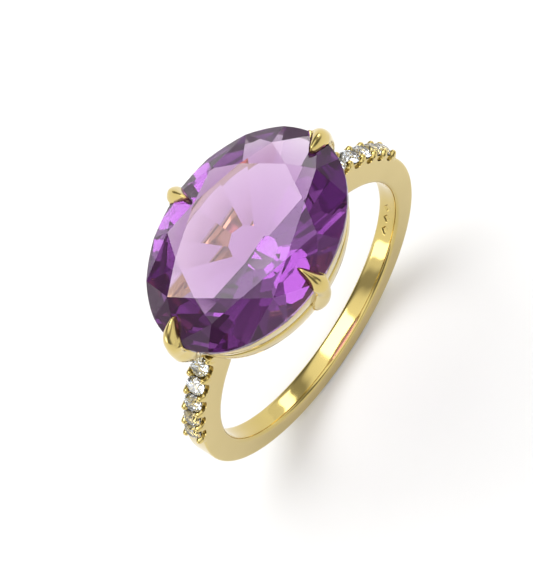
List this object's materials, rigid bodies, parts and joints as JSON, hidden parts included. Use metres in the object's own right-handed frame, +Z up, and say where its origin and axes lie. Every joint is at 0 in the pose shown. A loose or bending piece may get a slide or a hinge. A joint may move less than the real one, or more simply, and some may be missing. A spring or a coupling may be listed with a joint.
{
  "type": "cocktail ring",
  "caption": "Slim gold ring whose shoulders are set with small clear stones and rise to a claw-set oval purple stone on an open two-rail basket.",
  "frame": {"origin": "lowest point of the hoop, in its middle plane, under the centre of the finger hole, as the ring stands upright with its stone on top", "axes": "+Z up through the centre stone, Y along the finger, X in the hoop's plane and along the stone's long side"},
  "size_m": [0.0208, 0.0108, 0.0255],
  "materials": {
    "gold": "mirror-polished pale yellow gold plate",
    "purple_stone": "faceted transparent purple quartz, polished",
    "clear_stone": "faceted transparent colourless stone, polished"
  },
  "bodies": {
    "root": {"shank": "gold", "upper_rail": "gold", "lower_rail": "gold", "claw_front": "gold", "claw_rear": "gold", "claw_left": "gold", "claw_right": "gold", "centre_stone": "purple_stone", "accent_stone_left_1": "clear_stone", "accent_stone_left_2": "clear_stone", "accent_stone_left_3": "clear_stone", "accent_stone_left_4": "clear_stone", "accent_stone_left_5": "clear_stone", "accent_stone_right_1": "clear_stone", "accent_stone_right_2": "clear_stone", "accent_stone_right_3": "clear_stone", "accent_stone_right_4": "clear_stone", "accent_stone_right_5": "clear_stone"}
  },
  "joints": []
}
